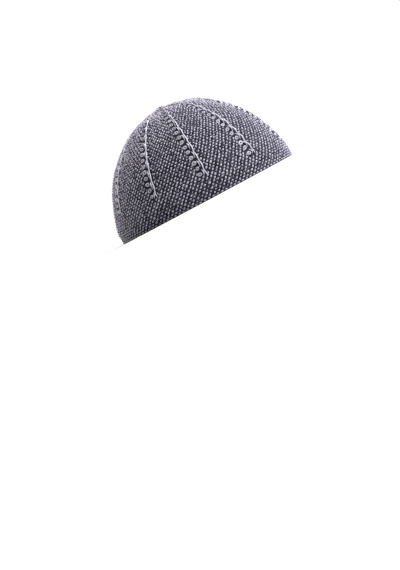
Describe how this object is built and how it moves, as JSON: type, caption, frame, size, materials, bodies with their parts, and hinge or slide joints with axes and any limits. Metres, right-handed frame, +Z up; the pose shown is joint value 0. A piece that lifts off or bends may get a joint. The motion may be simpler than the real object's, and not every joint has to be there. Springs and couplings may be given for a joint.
{
  "type": "knitted kufi cap",
  "caption": "Rounded brimless knitted cap, open at the rim, with raised cable ribs running from the crown towards a plain knitted edge.",
  "frame": {"origin": "on the surface that the cap rests on, under the middle of its rim", "axes": "+X to the front of the cap, +Y to the wearer's left, +Z up from the rim to the crown"},
  "size_m": [0.1999, 0.1631, 0.1085],
  "materials": {
    "two_tone_knit": "matt knit of dark navy and pale grey yarn",
    "pale_yarn": "soft matt pale grey yarn"
  },
  "bodies": {
    "root": {"knit_crown": "two_tone_knit", "cable_rib_01": "pale_yarn", "cable_rib_02": "pale_yarn", "cable_rib_03": "pale_yarn", "cable_rib_04": "pale_yarn", "cable_rib_05": "pale_yarn", "cable_rib_06": "pale_yarn", "cable_rib_07": "pale_yarn", "cable_rib_08": "pale_yarn", "cable_rib_09": "pale_yarn", "cable_rib_10": "pale_yarn"}
  },
  "joints": []
}
